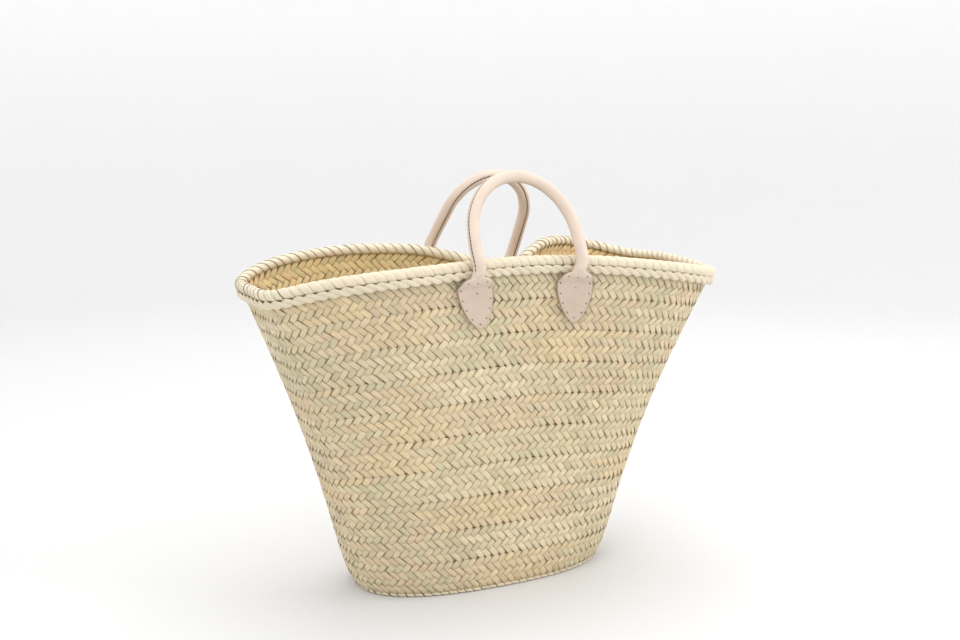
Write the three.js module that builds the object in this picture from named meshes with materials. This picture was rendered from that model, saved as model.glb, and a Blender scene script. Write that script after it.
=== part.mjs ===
// A woven market basket: one long plait of palm leaf wound from the middle of the base up to
// the mouth and sewn edge to edge, a wrapped rim roll, a cord under it, and two handles of
// leather rolled round a rope, each sewn to the wall by two tabs.
// Units are millimetres. +Z is up, +X runs along the mouth and -Y is the front.
// The origin is under the middle of the base, on the surface that the basket stands on.
import * as THREE from "three";

// ---- Driving dimensions ----

// Base, measured to the outside of the wall.
const BASE_HALF_LENGTH = 149;
const BASE_HALF_WIDTH = 78;
const BASE_CURVE_POWER = 0.83; // 1 gives an ellipse, less gives squarer ends
const CORNER_INSET = 7; // how far the foot of the wall tucks in
const CORNER_RISE = 15; // height over which it does so

// Mouth, measured to the outside of the wall. The handles pull its two long sides inwards.
const MOUTH_HALF_LENGTH = 256;
const LOBE_HALF_WIDTH = 132;
const LOBE_SKEW = 0.24; // the +X lobe is wider by this share, the -X lobe narrower
const MOUTH_LENGTH_POWER = 0.95;
const MOUTH_WIDTH_POWER = 0.45;
const FRONT_PINCH = 0.26; // share of the half width that the pull takes away
const FRONT_PINCH_AT = 29;
const FRONT_PINCH_SPREAD = 132;
const BACK_PINCH = 0.806;
const BACK_PINCH_AT = 24;
const BACK_PINCH_SPREAD = 140;
const BACK_DIP = 27; // the pulled-in back edge also sinks
const BACK_DIP_AT = 41;
const BACK_DIP_SPREAD = 50;
const TIP_DROP = 10; // the two ends of the mouth hang a little lower

// Wall.
const WALL_SLANT = 360; // from the ground to the top of the rim, along the wall
const WAIST_LENGTHWISE = 0.08; // how far the wall is hollow, as a share of the flare
const WAIST_CROSSWISE = 0.16;
const PLAIT_THICKNESS = 4;
const COURSE_COUNT = 10; // turns of the plait in the wall
const EDGE_GROOVE = 1.3; // hollow in a turn's edge that the sewing cord lies in
const SEWING_CORD_RADIUS = 1;

// Base.
const BASE_TURN_WIDTH = 34; // the outer turn; the plait is doubled back on itself within it
const WELT_WIDTH = 7;
const WELT_HEIGHT = 5;
const WELT_PROUD = 1.5; // how far the welt stands outside the wall's foot

// Rim.
const ROLL_RADIUS = 5.8;
const ROLL_LEAF = 1.4; // thickness of the leaf that wraps the roll
const RIM_CORD_HEIGHT = 8.4;
const RIM_CORD_DEPTH = 4.6;

// Handles.
const HANDLE_RADIUS = 6.3; // outside of the leather tube
const LEATHER = 1.7;
const SEAM_HALF_GAP = 0.75; // the slot where the edges of the leather meet
const SEAM_THREAD_RADIUS = 0.45;
const FRONT_HANDLE = {
  at: 4, // the middle of the handle, along the mouth
  spacing: 120, // between the middles of its two legs
  rise: 20, // straight leg between the rim and the arch
  lean: 27, // degrees from upright, towards the middle of the basket
  archWidth: 118, // between the middles of the leather at the foot of the arch
  archHeight: 69,
  tabLean: 0.17, // how far its tabs lean along the wall for each mm down
};
const BACK_HANDLE = {
  at: 19,
  spacing: 110,
  rise: 38,
  lean: 27,
  archWidth: 94,
  archHeight: 59,
  tabLean: 0,
};
const TAB_LENGTH = 49;
const TAB_HALF_WIDTH = 21;
const TAB_THICKNESS = 2.6;
const TAB_STITCH_INSET = 4.5;
const TAB_THREAD_RADIUS = 0.6;
const NECK_DROP = 7.5; // from the top of a tab down to its bend line

// Clearances between pieces that touch.
const GAP = 0.3;
const FREE_GAP = 1; // between the handle and what it rests against
const SEAT_GAP = 1.1; // between a tab and the wall, whose faces are flat between their edges

// How finely the curved pieces are divided.
const RING_STEPS = 64;
const HANDLE_STEPS = 40;

// ---- Materials ----

const finish = (colour, roughness) =>
  new THREE.MeshStandardMaterial({ color: colour, roughness, metalness: 0 });
const palmLeaf = () => finish(0xd9cba2, 0.75);
const palmCore = () => finish(0xc2ad78, 0.85);
const palmCord = () => finish(0x9c8a5e, 0.9);
const leather = () => finish(0xe6cbb8, 0.55);
const rope = () => finish(0xcbb894, 0.9);
const thread = () => finish(0x6b5647, 0.8);

const basket = new THREE.Group();

function addPiece(name, geometry, material) {
  const mesh = new THREE.Mesh(geometry, material);
  mesh.name = name;
  basket.add(mesh);
}

// ---- The shape of the wall ----

const bell = (x, middle, spread) => Math.exp(-(((x - middle) / spread) ** 2));

// A closed plan curve from a quarter curve: the angle moves slowly near the two tips, so that
// the blunt ends are followed closely. `quarter` takes an angle from 0 at a tip to a right angle.
function planCurve(quarter) {
  return (turn) => {
    const q = (((turn % 1) + 1) % 1) * 4;
    const step = Math.floor(q);
    const fromTip = step % 2 === 0 ? q - step : 1 - (q - step);
    const [reach, side] = quarter((Math.PI / 2) * fromTip ** 2);
    const x = step === 0 || step === 3 ? reach : -reach;
    return [x, step < 2 ? side : -side];
  };
}

const baseCurve = (inset) =>
  planCurve((angle) => [
    (BASE_HALF_LENGTH - inset) * Math.cos(angle) ** BASE_CURVE_POWER,
    (BASE_HALF_WIDTH - inset) * Math.sin(angle) ** BASE_CURVE_POWER,
  ]);

const plainMouth = planCurve((angle) => [
  MOUTH_HALF_LENGTH * Math.cos(angle) ** MOUTH_LENGTH_POWER,
  LOBE_HALF_WIDTH * Math.sin(angle) ** MOUTH_WIDTH_POWER,
]);

function mouthCurve(turn) {
  const [x, side] = plainMouth(turn);
  const pinch =
    side > 0
      ? BACK_PINCH * bell(x, BACK_PINCH_AT, BACK_PINCH_SPREAD)
      : FRONT_PINCH * bell(x, FRONT_PINCH_AT, FRONT_PINCH_SPREAD);
  return [x, side * (1 + (LOBE_SKEW * x) / MOUTH_HALF_LENGTH) * (1 - pinch)];
}

// Shares each half of a plan curve out evenly, so that equal steps are equal lengths. The
// answer takes a share of the way round and gives the curve's own value there.
function evenly(curve) {
  const fine = 360;
  const lengths = [0];
  for (let i = 1; i <= 2 * fine; i += 1) {
    const a = curve((i - 1) / (2 * fine));
    const b = curve(i / (2 * fine));
    lengths.push(lengths[i - 1] + Math.hypot(b[0] - a[0], b[1] - a[1]));
  }
  return (turn) => {
    const whole = ((turn % 1) + 1) % 1;
    const first = whole < 0.5 ? 0 : fine;
    const span = lengths[first + fine] - lengths[first];
    const target = lengths[first] + span * (whole * 2 - (first ? 1 : 0));
    let i = first;
    while (i < first + fine - 1 && lengths[i + 1] < target) i += 1;
    const part = (target - lengths[i]) / (lengths[i + 1] - lengths[i]);
    return (i + part) / (2 * fine);
  };
}

const mouthShare = evenly(mouthCurve);
const baseShare = evenly(baseCurve(0));
const evenMouth = (turn) => mouthCurve(mouthShare(turn));
const evenBase = (turn, inset) => baseCurve(inset)(baseShare(turn));

// A point on the outside of the wall: `turn` runs once round from the +X tip by way of the
// back, and `along` is the distance up the wall from the ground.
function wallFace(turn, along) {
  const share = along / WALL_SLANT;
  const [mouthX, mouthY] = evenMouth(turn);
  const [footX, footY] = evenBase(turn, 0);
  const run = Math.hypot(mouthX - footX, mouthY - footY);
  const sideways = Math.min(1, Math.abs(mouthY) / (0.3 * LOBE_HALF_WIDTH));
  const dip = mouthY > 0 ? BACK_DIP * bell(mouthX, BACK_DIP_AT, BACK_DIP_SPREAD) * sideways : 0;
  const tip = TIP_DROP * (Math.abs(mouthX) / MOUTH_HALF_LENGTH) ** 8;
  const height = (Math.sqrt(WALL_SLANT ** 2 - run ** 2) - dip - tip) * share;
  const tuck = CORNER_INSET * Math.exp(-height / CORNER_RISE);
  const [baseX, baseY] = evenBase(turn, tuck);
  const hollow = Math.sin(Math.PI * share);
  const x = THREE.MathUtils.lerp(baseX, mouthX, share - WAIST_LENGTHWISE * hollow);
  const y = THREE.MathUtils.lerp(baseY, mouthY, share - WAIST_CROSSWISE * hollow);
  return new THREE.Vector3(x, y, height);
}

function wallNormal(turn, along) {
  const round = wallFace(turn + 0.004, along).sub(wallFace(turn - 0.004, along));
  const up = wallFace(turn, along + 1).sub(wallFace(turn, along - 1));
  return round.cross(up).normalize();
}

// The same, moved outwards from the wall's outer face.
const wallPoint = (turn, along, out) =>
  wallFace(turn, along).addScaledVector(wallNormal(turn, along), out);

// A point beside the foot of the wall, level with the ground plus `height`.
function footPoint(turn, height, inset) {
  const [x, y] = evenBase(turn, CORNER_INSET + inset);
  return new THREE.Vector3(x, y, height);
}

// ---- Solids ----

// Joins rings of points into one closed skin. Each ring holds the same number of points.
// Open rings are capped at both ends with a fan about the ring's middle.
function skin(rings, closed) {
  const size = rings[0].length;
  const positions = rings.flat().flatMap((p) => [p.x, p.y, p.z]);
  const faces = [];
  const spans = closed ? rings.length : rings.length - 1;
  for (let j = 0; j < spans; j += 1) {
    const next = (j + 1) % rings.length;
    for (let k = 0; k < size; k += 1) {
      const a = j * size + k;
      const b = j * size + ((k + 1) % size);
      const c = next * size + ((k + 1) % size);
      const d = next * size + k;
      faces.push(a, b, c, a, c, d);
    }
  }
  if (!closed) {
    for (const [j, flip] of [[0, true], [rings.length - 1, false]]) {
      const middle = new THREE.Vector3();
      rings[j].forEach((p) => middle.addScaledVector(p, 1 / size));
      const hub = positions.length / 3;
      positions.push(middle.x, middle.y, middle.z);
      for (let k = 0; k < size; k += 1) {
        const a = j * size + k;
        const b = j * size + ((k + 1) % size);
        faces.push(...(flip ? [hub, b, a] : [hub, a, b]));
      }
    }
  }
  const geometry = new THREE.BufferGeometry();
  geometry.setAttribute("position", new THREE.Float32BufferAttribute(positions, 3));
  geometry.setIndex(faces);
  geometry.computeVertexNormals();
  return geometry;
}

// A closed ring round the basket. `section` lists points across it, and `place` puts one of
// them at a share of the way round.
function ring(section, place) {
  const rings = [];
  for (let j = 0; j < RING_STEPS; j += 1) {
    rings.push(section.map(([first, second]) => place(j / RING_STEPS, first, second)));
  }
  return skin(rings, true);
}

const circle = (radius, sides, middle = [0, 0], squash = 1) =>
  Array.from({ length: sides }, (_, k) => {
    const angle = (2 * Math.PI * k) / sides;
    return [middle[0] + radius * Math.cos(angle), middle[1] + squash * radius * Math.sin(angle)];
  });

// ---- Base ----

const plateInset = WELT_WIDTH - WELT_PROUD + GAP;

function plate(outerInset, holeInset) {
  const outline = (inset) =>
    Array.from({ length: RING_STEPS }, (_, j) => {
      const { x, y } = footPoint(j / RING_STEPS, 0, inset);
      return new THREE.Vector2(x, y);
    });
  const shape = new THREE.Shape(outline(outerInset));
  if (holeInset) shape.holes.push(new THREE.Path(outline(holeInset)));
  return new THREE.ExtrudeGeometry(shape, { depth: PLAIT_THICKNESS, bevelEnabled: false });
}

const centreInset = plateInset + BASE_TURN_WIDTH;
addPiece("base_outer_plait", plate(plateInset, centreInset - GAP), palmLeaf());
addPiece("base_centre_plait", plate(centreInset), palmLeaf());

const weltSection = [
  [0.6, -WELT_PROUD],
  [0, 0.6 - WELT_PROUD],
  [0, WELT_WIDTH - WELT_PROUD],
  [WELT_HEIGHT, WELT_WIDTH - WELT_PROUD],
  [WELT_HEIGHT, 0.6 - WELT_PROUD],
  [WELT_HEIGHT - 0.6, -WELT_PROUD],
];
addPiece("base_welt", ring(weltSection, footPoint), palmLeaf());

// ---- Wall: the turns of the plait and the cord that sews their edges ----

const wallFoot = WELT_HEIGHT + GAP;
const rollAlong = WALL_SLANT - ROLL_RADIUS;
const coreRadius = ROLL_RADIUS - ROLL_LEAF - GAP;
const wallTop = rollAlong - coreRadius - GAP;
const courseHeight = (wallTop - wallFoot) / COURSE_COUNT;

function courseSection(low, high, grooveLow, grooveHigh) {
  const middle = -PLAIT_THICKNESS / 2;
  const section = [[low, 0]];
  if (grooveLow) section.push([low + EDGE_GROOVE, middle]);
  section.push([low, -PLAIT_THICKNESS], [high, -PLAIT_THICKNESS]);
  if (grooveHigh) section.push([high - EDGE_GROOVE, middle]);
  section.push([high, 0]);
  return section;
}

for (let i = 0; i < COURSE_COUNT; i += 1) {
  const low = wallFoot + i * courseHeight + (i ? GAP / 2 : 0);
  const high = wallFoot + (i + 1) * courseHeight - (i < COURSE_COUNT - 1 ? GAP / 2 : 0);
  const section = courseSection(low, high, i > 0, i < COURSE_COUNT - 1);
  addPiece(`wall_course_${i + 1}`, ring(section, wallPoint), palmLeaf());
}

for (let i = 1; i < COURSE_COUNT; i += 1) {
  const seam = wallFoot + i * courseHeight;
  const section = circle(SEWING_CORD_RADIUS, 3, [seam, -PLAIT_THICKNESS / 2], 0.6);
  addPiece(`sewing_cord_${i}`, ring(section, wallPoint), palmCord());
}

// ---- Rim: a bundle of stems, the leaf that wraps it, and the cord outside ----

const rollOut = -PLAIT_THICKNESS / 2;
const rollMiddle = [rollAlong, rollOut];
const coreSection = circle(coreRadius, 8, rollMiddle);
addPiece("rim_core_stems", ring(coreSection, wallPoint), palmCore());

// The leaf is a C in section: its lips close on the wall, which enters from below.
function wrapSection() {
  const sides = 8;
  const lip = Math.asin((PLAIT_THICKNESS / 2 + GAP) / (ROLL_RADIUS - ROLL_LEAF));
  const arc = (radius, angle) => [
    rollAlong - radius * Math.cos(angle),
    rollOut + radius * Math.sin(angle),
  ];
  const angles = Array.from(
    { length: sides },
    (_, k) => lip + ((2 * Math.PI - 2 * lip) * k) / (sides - 1),
  );
  const outer = angles.map((angle) => arc(ROLL_RADIUS, angle));
  const inner = angles.map((angle) => arc(ROLL_RADIUS - ROLL_LEAF + 0.2, angle)).reverse();
  return [...outer, ...inner].reverse();
}
addPiece("rim_leaf_wrap", ring(wrapSection(), wallPoint), palmLeaf());

const cordAlong = rollAlong - ROLL_RADIUS - RIM_CORD_HEIGHT / 2 - GAP;
const cordMiddle = [cordAlong, RIM_CORD_DEPTH / 2 + GAP];
const cordSection = circle(RIM_CORD_HEIGHT / 2, 8, cordMiddle, RIM_CORD_DEPTH / RIM_CORD_HEIGHT);
addPiece("rim_twisted_cord", ring(cordSection, wallPoint), palmLeaf());

// ---- Handles ----

const tabTop = cordAlong - RIM_CORD_HEIGHT / 2 - GAP;
const neckAlong = tabTop - NECK_DROP;
const threadOut = SEAT_GAP + TAB_THICKNESS + GAP + TAB_THREAD_RADIUS;
const neckOut = threadOut + TAB_THREAD_RADIUS + FREE_GAP / 2 + HANDLE_RADIUS;
const restRadius = ROLL_RADIUS + FREE_GAP + HANDLE_RADIUS;
const pastCordOut = GAP + RIM_CORD_DEPTH + FREE_GAP + HANDLE_RADIUS;
const degrees = THREE.MathUtils.degToRad;

// The share of the way round at which the mouth passes x, on the back or the front.
function turnAt(x, onBack) {
  let low = onBack ? 0 : 0.5;
  let high = low + 0.5;
  for (let i = 0; i < 40; i += 1) {
    const middle = (low + high) / 2;
    const passed = onBack ? evenMouth(middle)[0] < x : evenMouth(middle)[0] > x;
    if (passed) high = middle;
    else low = middle;
  }
  return (low + high) / 2;
}

// The line down the middle of one handle, from bend line to bend line. Each leg rises past
// the cord, follows the roll round until it leans enough, and runs straight to the arch.
function handleLine(turns, size, inward) {
  const lean = degrees(size.lean);
  const legs = turns.map((turn) => {
    const middle = wallPoint(turn, rollAlong, rollOut);
    const out = wallNormal(turn, rollAlong);
    const up = wallPoint(turn, rollAlong + 1, rollOut).sub(middle).normalize();
    const flare = Math.atan2(-up.dot(inward), up.z);
    const bend = lean + flare;
    const onRoll = (angle) =>
      middle
        .clone()
        .addScaledVector(out, restRadius * Math.cos(angle))
        .addScaledVector(up, restRadius * Math.sin(angle));
    return [
      wallPoint(turn, neckAlong, neckOut),
      wallPoint(turn, cordAlong, Math.max(pastCordOut, rollOut + restRadius)),
      onRoll(0),
      onRoll(bend / 2),
      onRoll(bend),
    ];
  });
  const ends = legs.map((points) => points[points.length - 1]);
  const across = ends[1].clone().sub(ends[0]).normalize();
  const uphill = inward
    .clone()
    .multiplyScalar(Math.sin(lean))
    .add(new THREE.Vector3(0, 0, Math.cos(lean)));
  uphill.addScaledVector(across, -uphill.dot(across)).normalize();
  const middle = ends[0].clone().add(ends[1]).multiplyScalar(0.5);
  const arch = [];
  const archSteps = 8;
  for (let k = 0; k <= archSteps; k += 1) {
    const angle = (Math.PI * k) / archSteps;
    arch.push(
      middle
        .clone()
        .addScaledVector(across, (-size.archWidth / 2) * Math.cos(angle))
        .addScaledVector(uphill, size.rise + size.archHeight * Math.sin(angle)),
    );
  }
  return new THREE.CatmullRomCurve3([...legs[0], ...arch, ...legs[1].reverse()]);
}

// Sweeps a section along a line. The section's own x stays in the direction of `facing`.
function sweep(line, section, facing) {
  const frames = line.computeFrenetFrames(HANDLE_STEPS, false);
  const turn = Math.atan2(facing.dot(frames.binormals[0]), facing.dot(frames.normals[0]));
  const shape = new THREE.Shape(
    section.map(([x, y]) => new THREE.Vector2(x, y).rotateAround(new THREE.Vector2(), turn)),
  );
  return new THREE.ExtrudeGeometry(shape, { steps: HANDLE_STEPS, extrudePath: line });
}

// The rolled leather is a C in section, with the slot of its sewn seam at +x.
function rolledLeather() {
  const outerSides = 10;
  const innerSides = 6;
  const inner = HANDLE_RADIUS - LEATHER;
  const arc = (radius, sides) => {
    const start = Math.asin(SEAM_HALF_GAP / radius);
    return Array.from({ length: sides + 1 }, (_, k) => {
      const angle = start + ((2 * Math.PI - 2 * start) * k) / sides;
      return [radius * Math.cos(angle), radius * Math.sin(angle)];
    });
  };
  return [...arc(HANDLE_RADIUS, outerSides), ...arc(inner, innerSides).reverse()];
}

// A tab's outline in the plane of the wall: across, and down from its top edge.
function tabOutline(inset, steps) {
  const shape = new THREE.Shape();
  const half = TAB_HALF_WIDTH - inset;
  const top = -inset;
  const tip = -TAB_LENGTH + inset;
  const shoulder = -0.3 * TAB_LENGTH;
  shape.moveTo(0, top);
  shape.bezierCurveTo(0.75 * half, top, half, 0.6 * shoulder, half, shoulder);
  shape.bezierCurveTo(half, -0.55 * TAB_LENGTH, 0.35 * half, tip, 0, tip);
  shape.bezierCurveTo(-0.35 * half, tip, -half, -0.55 * TAB_LENGTH, -half, shoulder);
  shape.bezierCurveTo(-half, 0.6 * shoulder, -0.75 * half, top, 0, top);
  return shape.getPoints(steps).slice(0, -1);
}

// Puts a point of a tab on the wall: `across` mm round it, and `up` from the tab's top edge.
// The tab leans about the point under the handle's bend line.
function onTab({ turn, lean }, across, up, out) {
  const perTurn = wallFace(turn + 0.004, tabTop).distanceTo(wallFace(turn - 0.004, tabTop)) / 0.008;
  const shifted = across - lean * (up + NECK_DROP);
  return wallPoint(turn + shifted / perTurn, tabTop + up, out);
}

function tab(seat) {
  const outline = tabOutline(0, 4);
  const middle = -0.4 * TAB_LENGTH;
  const loops = (out, shares) =>
    shares.map((share) =>
      outline.map((p) => onTab(seat, p.x * share, THREE.MathUtils.lerp(middle, p.y, share), out)),
    );
  const shares = [0.55, 1];
  const outer = loops(SEAT_GAP + TAB_THICKNESS, shares);
  const inner = loops(SEAT_GAP, shares).reverse();
  return skin([...outer, ...inner], false);
}

function tabThread(seat) {
  const outline = tabOutline(TAB_STITCH_INSET, 5);
  const rings = outline.map((p, k) => {
    const before = outline[(k + outline.length - 1) % outline.length];
    const after = outline[(k + 1) % outline.length];
    const along = after.clone().sub(before).normalize();
    return circle(TAB_THREAD_RADIUS, 4).map(([side, out]) =>
      onTab(seat, p.x - along.y * side, p.y + along.x * side, threadOut + out),
    );
  });
  return skin(rings, true);
}

function handle(side, size, onBack) {
  const { at, spacing } = size;
  const inward = new THREE.Vector3(0, onBack ? -1 : 1, 0);
  const turns = [at - spacing / 2, at + spacing / 2].map((x) => turnAt(x, onBack));
  const line = handleLine(turns, size, inward);
  addPiece(`${side}_handle_leather`, sweep(line, rolledLeather(), inward), leather());
  const ropeRadius = HANDLE_RADIUS - LEATHER - GAP;
  addPiece(`${side}_handle_rope`, sweep(line, circle(ropeRadius * 0.95, 6), inward), rope());
  const seamMiddle = [HANDLE_RADIUS - LEATHER / 2, 0];
  addPiece(`${side}_handle_thread`, sweep(line, circle(SEAM_THREAD_RADIUS, 3, seamMiddle), inward), thread());
  ["left", "right"].forEach((end, k) => {
    const seat = { turn: turns[k], lean: size.tabLean };
    addPiece(`${side}_${end}_tab`, tab(seat), leather());
    addPiece(`${side}_${end}_tab_thread`, tabThread(seat), thread());
  });
}

handle("front", FRONT_HANDLE, false);
handle("back", BACK_HANDLE, true);

export default basket;
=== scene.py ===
# %% [markdown]
# # A woven market basket
# The basket is a long band of plaited palm leaf, wound in turns and sewn edge to edge, with a
# wrapped rim and two handles of rolled leather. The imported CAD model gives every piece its
# place, its size and the body that it moves with. This script gives each piece its real
# surface: the leaf strips over and under each other, the wraps of the rim, and the leather.

# %% Load the model
import math
import bpy
import numpy as np
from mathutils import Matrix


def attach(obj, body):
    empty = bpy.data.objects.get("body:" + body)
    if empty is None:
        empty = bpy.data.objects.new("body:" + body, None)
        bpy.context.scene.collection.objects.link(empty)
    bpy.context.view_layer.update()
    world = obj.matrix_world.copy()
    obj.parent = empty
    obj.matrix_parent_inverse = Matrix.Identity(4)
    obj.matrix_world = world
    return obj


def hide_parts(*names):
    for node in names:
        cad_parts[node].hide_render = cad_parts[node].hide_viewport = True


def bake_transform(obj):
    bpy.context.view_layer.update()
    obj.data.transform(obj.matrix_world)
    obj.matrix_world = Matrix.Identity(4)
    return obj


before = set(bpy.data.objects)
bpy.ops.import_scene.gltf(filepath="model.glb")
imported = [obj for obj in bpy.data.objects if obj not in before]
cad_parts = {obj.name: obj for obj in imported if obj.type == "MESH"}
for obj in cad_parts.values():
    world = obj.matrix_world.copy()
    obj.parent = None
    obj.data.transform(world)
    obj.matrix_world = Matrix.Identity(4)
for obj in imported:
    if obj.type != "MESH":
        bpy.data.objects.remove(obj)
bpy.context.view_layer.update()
print("nodes in the model:", len(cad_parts))

# %% [markdown]
# ## The camera
# The camera comes first, because every later choice is judged through it. It stands a step and
# a half away, a little above the rim, and looks at the front from the basket's left.

# %% Camera
AZIMUTH = math.radians(-27.26)
ELEVATION = math.radians(10.4)
DISTANCE = 1.466
TARGET_HEIGHT = 0.278
TARGET_SIDE = 0.0034
LENS = 50.85

target = np.array([
    TARGET_SIDE * math.cos(AZIMUTH),
    TARGET_SIDE * math.sin(AZIMUTH),
    TARGET_HEIGHT,
])
towards_camera = np.array([
    math.sin(AZIMUTH) * math.cos(ELEVATION),
    -math.cos(AZIMUTH) * math.cos(ELEVATION),
    math.sin(ELEVATION),
])
camera_data = bpy.data.cameras.new("camera")
camera_data.lens = LENS
camera = bpy.data.objects.new("camera", camera_data)
camera.location = target + DISTANCE * towards_camera
camera.rotation_euler = (math.pi / 2 - ELEVATION, 0, AZIMUTH)
bpy.context.scene.collection.objects.link(camera)
bpy.context.scene.camera = camera
print("camera at", [round(v, 3) for v in camera.location])

# %% [markdown]
# ## The shape of the wall
# All the woven work lies on one curved surface, so that surface is a formula and not a mesh.
# It runs from an oval base to a long mouth whose two sides are pulled in by the handles. The
# same named sizes drive the CAD model, so both surfaces agree. `turn` is the share of the way
# round, starting at the right-hand tip and passing the back, and `along` is the distance up
# the wall. The functions take whole arrays, which keeps thousands of strips quick.

# %% Sizes of the wall
MM = 0.001
BASE_HALF_LENGTH = 149 * MM
BASE_HALF_WIDTH = 78 * MM
BASE_CURVE_POWER = 0.83
CORNER_INSET = 7 * MM
CORNER_RISE = 15 * MM
MOUTH_HALF_LENGTH = 256 * MM
LOBE_HALF_WIDTH = 132 * MM
LOBE_SKEW = 0.24
MOUTH_LENGTH_POWER = 0.95
MOUTH_WIDTH_POWER = 0.45
FRONT_PINCH = {"share": 0.26, "at": 29 * MM, "spread": 132 * MM}
BACK_PINCH = {"share": 0.806, "at": 24 * MM, "spread": 140 * MM}
BACK_DIP = {"depth": 27 * MM, "at": 41 * MM, "spread": 50 * MM}
TIP_DROP = 10 * MM
WALL_SLANT = 360 * MM
WAIST_LENGTHWISE = 0.08
WAIST_CROSSWISE = 0.16
PLAIT_THICKNESS = 4 * MM


# %% The wall as a function
def bell(x, middle, spread):
    return np.exp(-(((x - middle) / spread) ** 2))


def plan_curve(turn, length, width, length_power, width_power):
    """A closed curve in plan that moves slowly near its two tips."""
    quarters = (np.asarray(turn, float) % 1) * 4
    step = np.floor(quarters)
    part = quarters - step
    angle = np.pi / 2 * np.where(step % 2 == 0, part, 1 - part) ** 2
    x = np.where((step == 0) | (step == 3), 1, -1) * length * np.cos(angle) ** length_power
    y = np.where(step < 2, 1, -1) * width * np.maximum(np.sin(angle), 0) ** width_power
    return x, y


def base_curve(turn, inset=0.0):
    return plan_curve(
        turn,
        BASE_HALF_LENGTH - inset,
        BASE_HALF_WIDTH - inset,
        BASE_CURVE_POWER,
        BASE_CURVE_POWER,
    )


def mouth_curve(turn):
    x, side = plan_curve(
        turn, MOUTH_HALF_LENGTH, LOBE_HALF_WIDTH, MOUTH_LENGTH_POWER, MOUTH_WIDTH_POWER
    )
    back, front = (
        pinch["share"] * bell(x, pinch["at"], pinch["spread"]) for pinch in (BACK_PINCH, FRONT_PINCH)
    )
    skew = 1 + LOBE_SKEW * x / MOUTH_HALF_LENGTH
    return x, side * skew * (1 - np.where(side > 0, back, front))


def even_share(curve, fine=720):
    """Turns a share of the way round into the curve's own value, with equal steps in each half."""
    values = np.linspace(0, 1, fine + 1)
    x, y = curve(np.minimum(values, 1 - 1e-12))
    length = np.append(0, np.cumsum(np.hypot(np.diff(x), np.diff(y))))
    half = length[fine // 2]

    def share(turn):
        whole = np.asarray(turn, float) % 1
        second = half + (whole * 2 - 1) * (length[-1] - half)
        return np.interp(np.where(whole < 0.5, whole * 2 * half, second), length, values)

    return share


mouth_share = even_share(mouth_curve)
base_share = even_share(base_curve)


def wall_face(turn, along):
    """A point on the wall's outer face."""
    turn, along = np.broadcast_arrays(np.asarray(turn, float), np.asarray(along, float))
    share = along / WALL_SLANT
    mouth_x, mouth_y = mouth_curve(mouth_share(turn))
    base_turn = base_share(turn)
    foot_x, foot_y = base_curve(base_turn)
    run = np.hypot(mouth_x - foot_x, mouth_y - foot_y)
    sideways = np.minimum(1, abs(mouth_y) / (0.3 * LOBE_HALF_WIDTH))
    dip = BACK_DIP["depth"] * bell(mouth_x, BACK_DIP["at"], BACK_DIP["spread"]) * sideways
    tip = TIP_DROP * (abs(mouth_x) / MOUTH_HALF_LENGTH) ** 8
    rise = np.sqrt(WALL_SLANT**2 - run**2) - np.where(mouth_y > 0, dip, 0) - tip
    height = rise * share
    base_x, base_y = base_curve(base_turn, CORNER_INSET * np.exp(-height / CORNER_RISE))
    hollow = np.sin(np.pi * share)
    x = base_x + (mouth_x - base_x) * (share - WAIST_LENGTHWISE * hollow)
    y = base_y + (mouth_y - base_y) * (share - WAIST_CROSSWISE * hollow)
    return np.stack([x, y, height], -1)


def unit(vectors):
    return vectors / np.linalg.norm(vectors, axis=-1, keepdims=True)


def wall_normal(turn, along):
    turn, along = np.broadcast_arrays(np.asarray(turn, float), np.asarray(along, float))
    round_wall = wall_face(turn + 0.004, along) - wall_face(turn - 0.004, along)
    up_wall = wall_face(turn, along + MM) - wall_face(turn, along - MM)
    return unit(np.cross(round_wall, up_wall))


def wall_point(turn, along, out):
    """The same point, moved off the outer face by `out`."""
    turn, along, out = np.broadcast_arrays(turn, along, out)
    return wall_face(turn, along) + wall_normal(turn, along) * out[..., None]


def path_length(points):
    return np.linalg.norm(np.diff(points, axis=0), axis=1).sum()


def length_so_far(points):
    """The way from the first point of a path to each of its points."""
    return np.append(0, np.cumsum(np.linalg.norm(np.diff(points, axis=0), axis=1)))


def length_round(along):
    """The way round the wall at one height."""
    return path_length(wall_face(np.linspace(0, 1, 721), along))


print("round the mouth %.3f m, round the foot %.3f m" % (length_round(WALL_SLANT), length_round(0)))

# %% [markdown]
# ## Making strips into meshes
# Leaf strips, wraps, twisted strands and stitches are all the same kind of thing: a small
# section carried along a path. One function takes their points as a block of numbers, strip by
# ring by side, and makes a closed mesh of it. It stores three things for the finishes: the
# colour of each strip, a map in metres along and across the leaf, and a map that gives each
# strip a cell of its own on one square, which is what a baked picture of the finish needs.


# %% Strips to mesh
CELL_MARGIN = 0.05
CELL_INNER = 0.9


def atlas(cells, aspect):
    """The columns and rows of a square of `cells` cells, each `aspect` times as long as high."""
    columns = max(1, round(math.sqrt(cells / aspect)))
    return columns, math.ceil(cells / columns)


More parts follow.
